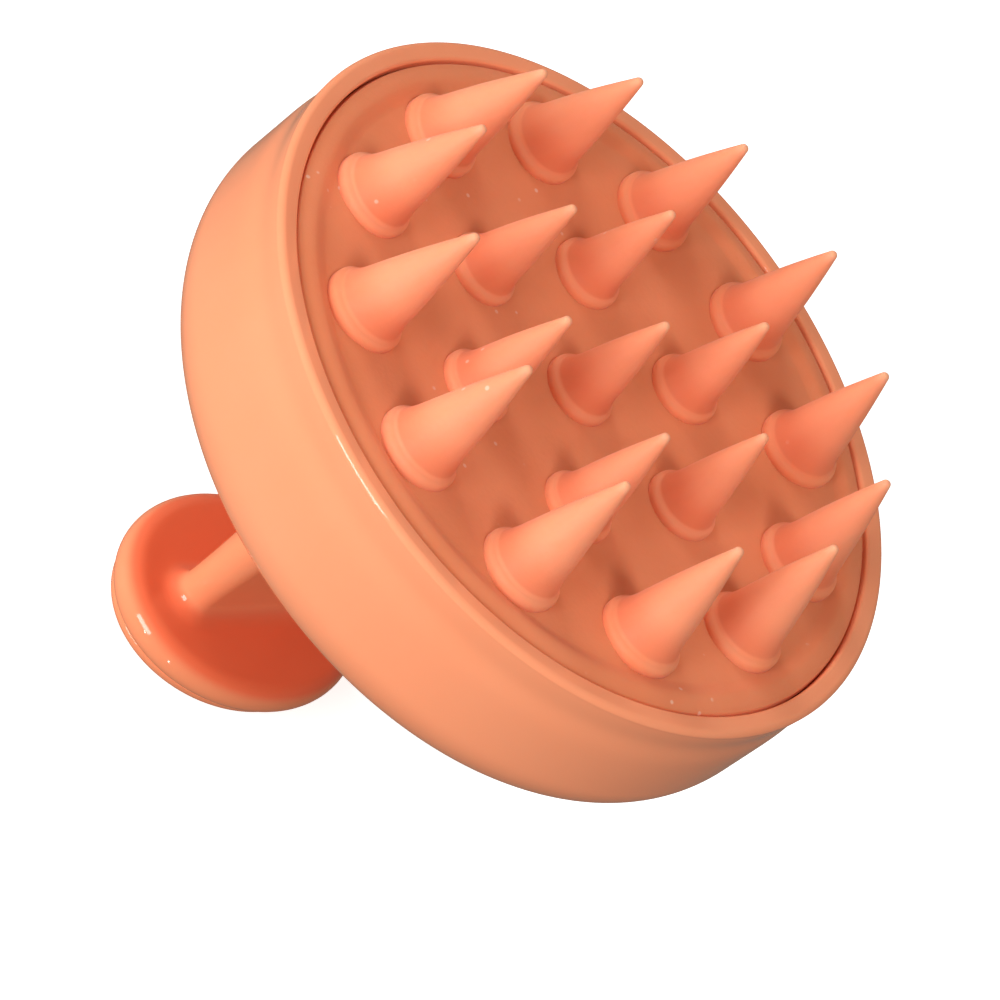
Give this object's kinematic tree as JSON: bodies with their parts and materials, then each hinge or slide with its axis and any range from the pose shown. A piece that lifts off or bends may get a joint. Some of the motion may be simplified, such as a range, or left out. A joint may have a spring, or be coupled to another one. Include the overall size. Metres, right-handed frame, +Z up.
{
  "type": "scalp massager brush",
  "caption": "Round handheld scalp massager: soft silicone bristles on a pad in a glossy plastic shell, with an oval finger handle behind.",
  "frame": {"origin": "on the shell's axis, in the plane of the flat land the brush stands on", "axes": "+Z up along the shell's axis, out through the bristles; +X along the length of the oval handle"},
  "size_m": [0.0848, 0.0848, 0.0712],
  "materials": {
    "shell_plastic": "gloss",
    "handle_plastic": "gloss",
    "silicone": "matt",
    "plate_plastic": "satin",
    "screw_steel": "satin"
  },
  "bodies": {
    "root": {"shell": "shell_plastic", "handle": "handle_plastic", "cover": "handle_plastic", "neck_screws": "screw_steel", "backing": "plate_plastic", "pad": "silicone"}
  },
  "joints": []
}
